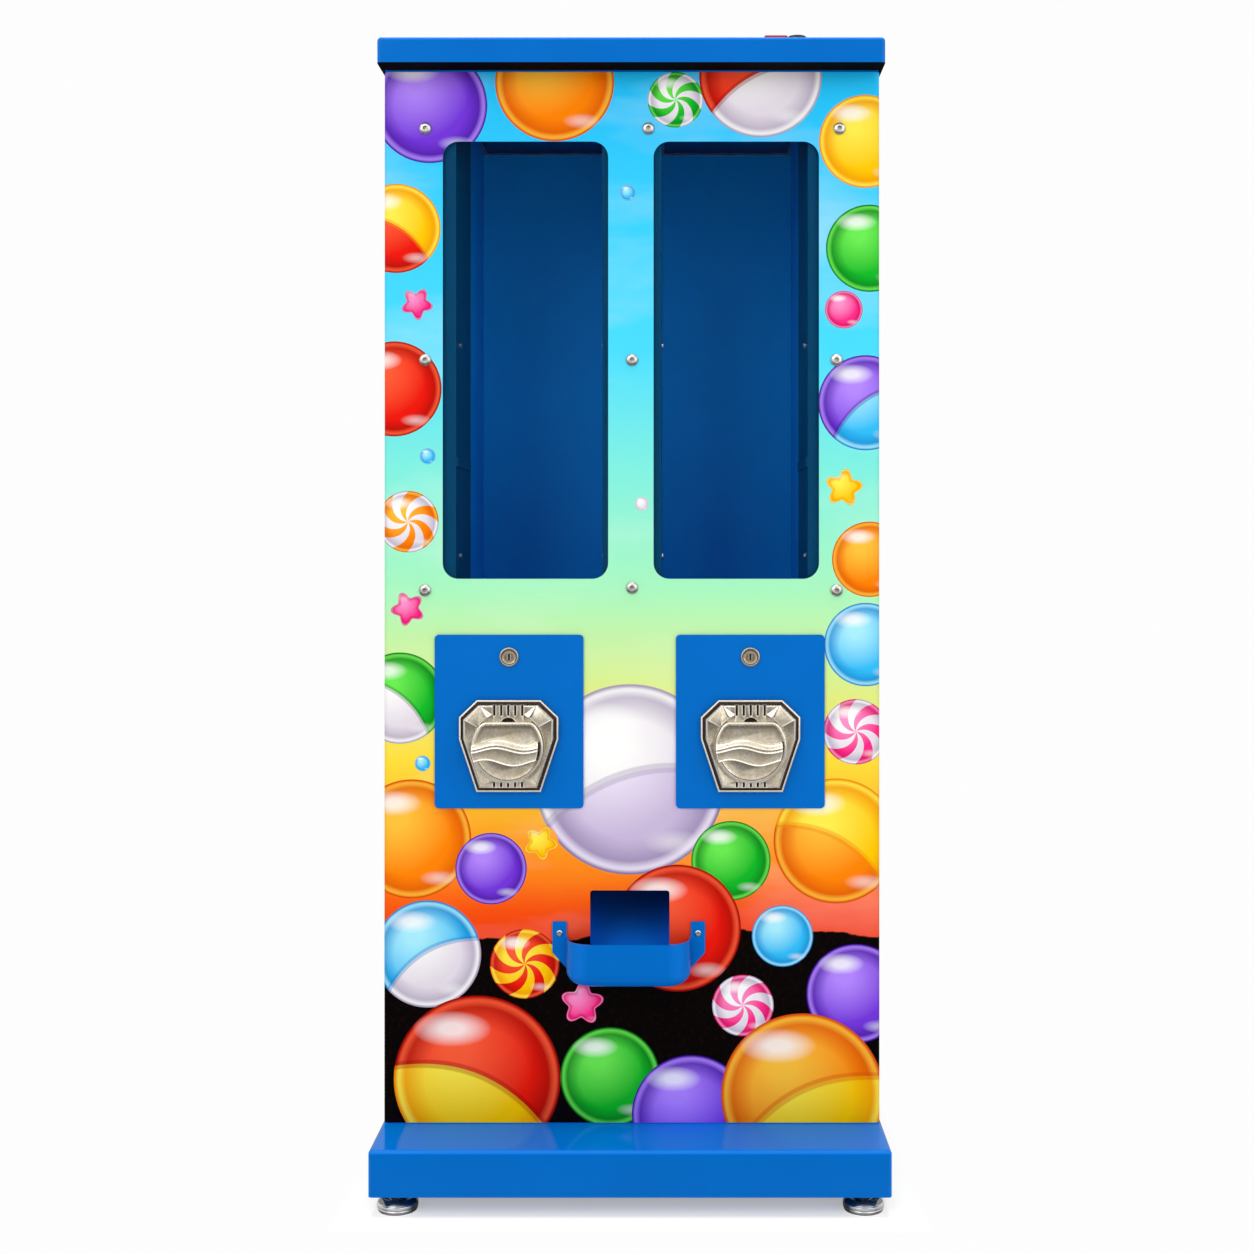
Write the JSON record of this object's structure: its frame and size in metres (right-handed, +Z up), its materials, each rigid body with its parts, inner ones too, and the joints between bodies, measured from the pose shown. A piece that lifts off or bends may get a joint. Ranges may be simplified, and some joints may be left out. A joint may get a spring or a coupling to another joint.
{
  "type": "capsule vending machine",
  "caption": "Free-standing capsule vending machine: windowed hopper columns, coin mechanisms with round knobs on pull-out doors, one catch tray, hinged lid and levelling feet.",
  "frame": {"origin": "on the floor, under the middle of the base", "axes": "+X to the viewer's right as seen from the front, +Y to the rear, +Z up"},
  "size_m": [0.505, 0.38, 1.1572],
  "materials": {
    "blue_paint": "gloss",
    "printed_film": "gloss",
    "clear_plastic": "clear",
    "cast_zinc": "cast",
    "polished_steel": "polished",
    "bright_steel": "bright",
    "galvanised_sheet": "galvanised",
    "brass": "turned",
    "dark_plastic": "matt",
    "white_plastic": "matt",
    "red_rubber": "matt",
    "black_rubber": "matt"
  },
  "bodies": {
    "cabinet": {"base_tray": "blue_paint", "foot_lock_nuts": "polished_steel", "cabinet_shell": "blue_paint", "front_film": "printed_film", "back_panel": "blue_paint", "back_screws": "bright_steel", "window_sheet": "clear_plastic", "window_screws": "bright_steel", "window_nuts": "bright_steel", "hopper_brackets": "blue_paint", "hopper_rivets": "bright_steel", "hopper_sides": "blue_paint", "hopper_backs": "blue_paint", "fill_deck": "galvanised_sheet", "hopper_floor": "blue_paint", "wheel_housings": "white_plastic", "wheel_stands": "dark_plastic", "wheel_axles": "bright_steel", "lower_deck": "galvanised_sheet", "delivery_ramp": "blue_paint", "capsule_collector": "galvanised_sheet", "catch_tray": "blue_paint", "tray_screws": "bright_steel", "coin_shelves": "galvanised_sheet", "lid_seal": "black_rubber", "hinge_leaf_body": "galvanised_sheet", "hinge_pin": "bright_steel"},
    "lid": {"lid": "blue_paint", "hinge_leaf_lid": "galvanised_sheet", "lid_lock_barrel": "dark_plastic", "lid_lock_cap": "red_rubber"},
    "lid_lock": {"lid_lock_plug": "bright_steel"},
    "door_left": {"mech_door_left": "blue_paint", "bezel_left": "cast_zinc", "mech_housing_left": "cast_zinc", "lock_barrel_left": "bright_steel"},
    "lock_left": {"lock_plug_left": "brass"},
    "drive_left": {"knob_left": "cast_zinc", "drive_shaft_left": "bright_steel", "drive_pinion_left": "brass"},
    "wheel_left": {"dispensing_wheel_left": "white_plastic"},
    "cash_left": {"coin_box_left": "galvanised_sheet"},
    "door_right": {"mech_door_right": "blue_paint", "bezel_right": "cast_zinc", "mech_housing_right": "cast_zinc", "lock_barrel_right": "bright_steel"},
    "lock_right": {"lock_plug_right": "brass"},
    "drive_right": {"knob_right": "cast_zinc", "drive_shaft_right": "bright_steel", "drive_pinion_right": "brass"},
    "wheel_right": {"dispensing_wheel_right": "white_plastic"},
    "cash_right": {"coin_box_right": "galvanised_sheet"},
    "pad_front_left": {"foot_pad_front_left": "polished_steel"},
    "stud_front_left": {"foot_stud_front_left": "bright_steel"},
    "pad_front_right": {"foot_pad_front_right": "polished_steel"},
    "stud_front_right": {"foot_stud_front_right": "bright_steel"},
    "pad_rear_left": {"foot_pad_rear_left": "polished_steel"},
    "stud_rear_left": {"foot_stud_rear_left": "bright_steel"},
    "pad_rear_right": {"foot_pad_rear_right": "polished_steel"},
    "stud_rear_right": {"foot_stud_rear_right": "bright_steel"}
  },
  "joints": [
    {"name": "lid_hinge", "type": "hinge", "parent": "cabinet", "child": "lid", "pos_m": [0, 0.186, 1.149], "axis": [-1, 0, 0], "range_deg": [0, 100]},
    {"name": "lid_lock_turn", "type": "hinge", "parent": "lid", "child": "lid_lock", "pos_m": [0.1655, -0.128, 1.14], "axis": [0, 0, 1], "range_deg": [0, 90]},
    {"name": "door_pull_left", "type": "slide", "parent": "cabinet", "child": "door_left", "axis": [0, -1, 0], "range_m": [0, 0.12]},
    {"name": "lock_turn_left", "type": "hinge", "parent": "door_left", "child": "lock_left", "pos_m": [-0.12365, -0.105, 0.5355], "axis": [0, 1, 0], "range_deg": [0, 90]},
    {"name": "wheel_turn_left", "type": "hinge", "parent": "cabinet", "child": "wheel_left", "pos_m": [-0.12365, 0.037, 0.49], "axis": [0, 0, 1], "continuous": true},
    {"name": "knob_turn_left", "type": "hinge", "parent": "door_left", "child": "drive_left", "pos_m": [-0.12365, -0.12, 0.4463], "axis": [0, 1, 0], "continuous": true},
    {"name": "cash_lift_left", "type": "slide", "parent": "cabinet", "child": "cash_left", "axis": [0, 0, 1], "range_m": [0, 0.04]},
    {"name": "door_pull_right", "type": "slide", "parent": "cabinet", "child": "door_right", "axis": [0, -1, 0], "range_m": [0, 0.12]},
    {"name": "lock_turn_right", "type": "hinge", "parent": "door_right", "child": "lock_right", "pos_m": [0.11945, -0.105, 0.5355], "axis": [0, 1, 0], "range_deg": [0, 90]},
    {"name": "wheel_turn_right", "type": "hinge", "parent": "cabinet", "child": "wheel_right", "pos_m": [0.11945, 0.037, 0.49], "axis": [0, 0, 1], "continuous": true},
    {"name": "knob_turn_right", "type": "hinge", "parent": "door_right", "child": "drive_right", "pos_m": [0.11945, -0.12, 0.4463], "axis": [0, 1, 0], "continuous": true},
    {"name": "cash_lift_right", "type": "slide", "parent": "cabinet", "child": "cash_right", "axis": [0, 0, 1], "range_m": [0, 0.04]},
    {"name": "foot_level_front_left", "type": "slide", "parent": "cabinet", "child": "pad_front_left", "axis": [0, 0, -1], "range_m": [0, 0.01]},
    {"name": "stud_turn_front_left", "type": "hinge", "parent": "pad_front_left", "child": "stud_front_left", "pos_m": [-0.2275, -0.165, 0.007], "axis": [0, 0, -1], "range_deg": [0, 2880]},
    {"name": "foot_level_front_right", "type": "slide", "parent": "cabinet", "child": "pad_front_right", "axis": [0, 0, -1], "range_m": [0, 0.01]},
    {"name": "stud_turn_front_right", "type": "hinge", "parent": "pad_front_right", "child": "stud_front_right", "pos_m": [0.2275, -0.165, 0.007], "axis": [0, 0, -1], "range_deg": [0, 2880]},
    {"name": "foot_level_rear_left", "type": "slide", "parent": "cabinet", "child": "pad_rear_left", "axis": [0, 0, -1], "range_m": [0, 0.01]},
    {"name": "stud_turn_rear_left", "type": "hinge", "parent": "pad_rear_left", "child": "stud_rear_left", "pos_m": [-0.2275, 0.165, 0.007], "axis": [0, 0, -1], "range_deg": [0, 2880]},
    {"name": "foot_level_rear_right", "type": "slide", "parent": "cabinet", "child": "pad_rear_right", "axis": [0, 0, -1], "range_m": [0, 0.01]},
    {"name": "stud_turn_rear_right", "type": "hinge", "parent": "pad_rear_right", "child": "stud_rear_right", "pos_m": [0.2275, 0.165, 0.007], "axis": [0, 0, -1], "range_deg": [0, 2880]}
  ],
  "couplings": [
    {"joint": "knob_turn_left", "follows": "wheel_turn_left", "ratio": 4},
    {"joint": "knob_turn_right", "follows": "wheel_turn_right", "ratio": 4},
    {"joint": "stud_turn_front_left", "follows": "foot_level_front_left", "rad_per_m": 5026.5},
    {"joint": "stud_turn_front_right", "follows": "foot_level_front_right", "rad_per_m": 5026.5},
    {"joint": "stud_turn_rear_left", "follows": "foot_level_rear_left", "rad_per_m": 5026.5},
    {"joint": "stud_turn_rear_right", "follows": "foot_level_rear_right", "rad_per_m": 5026.5}
  ]
}
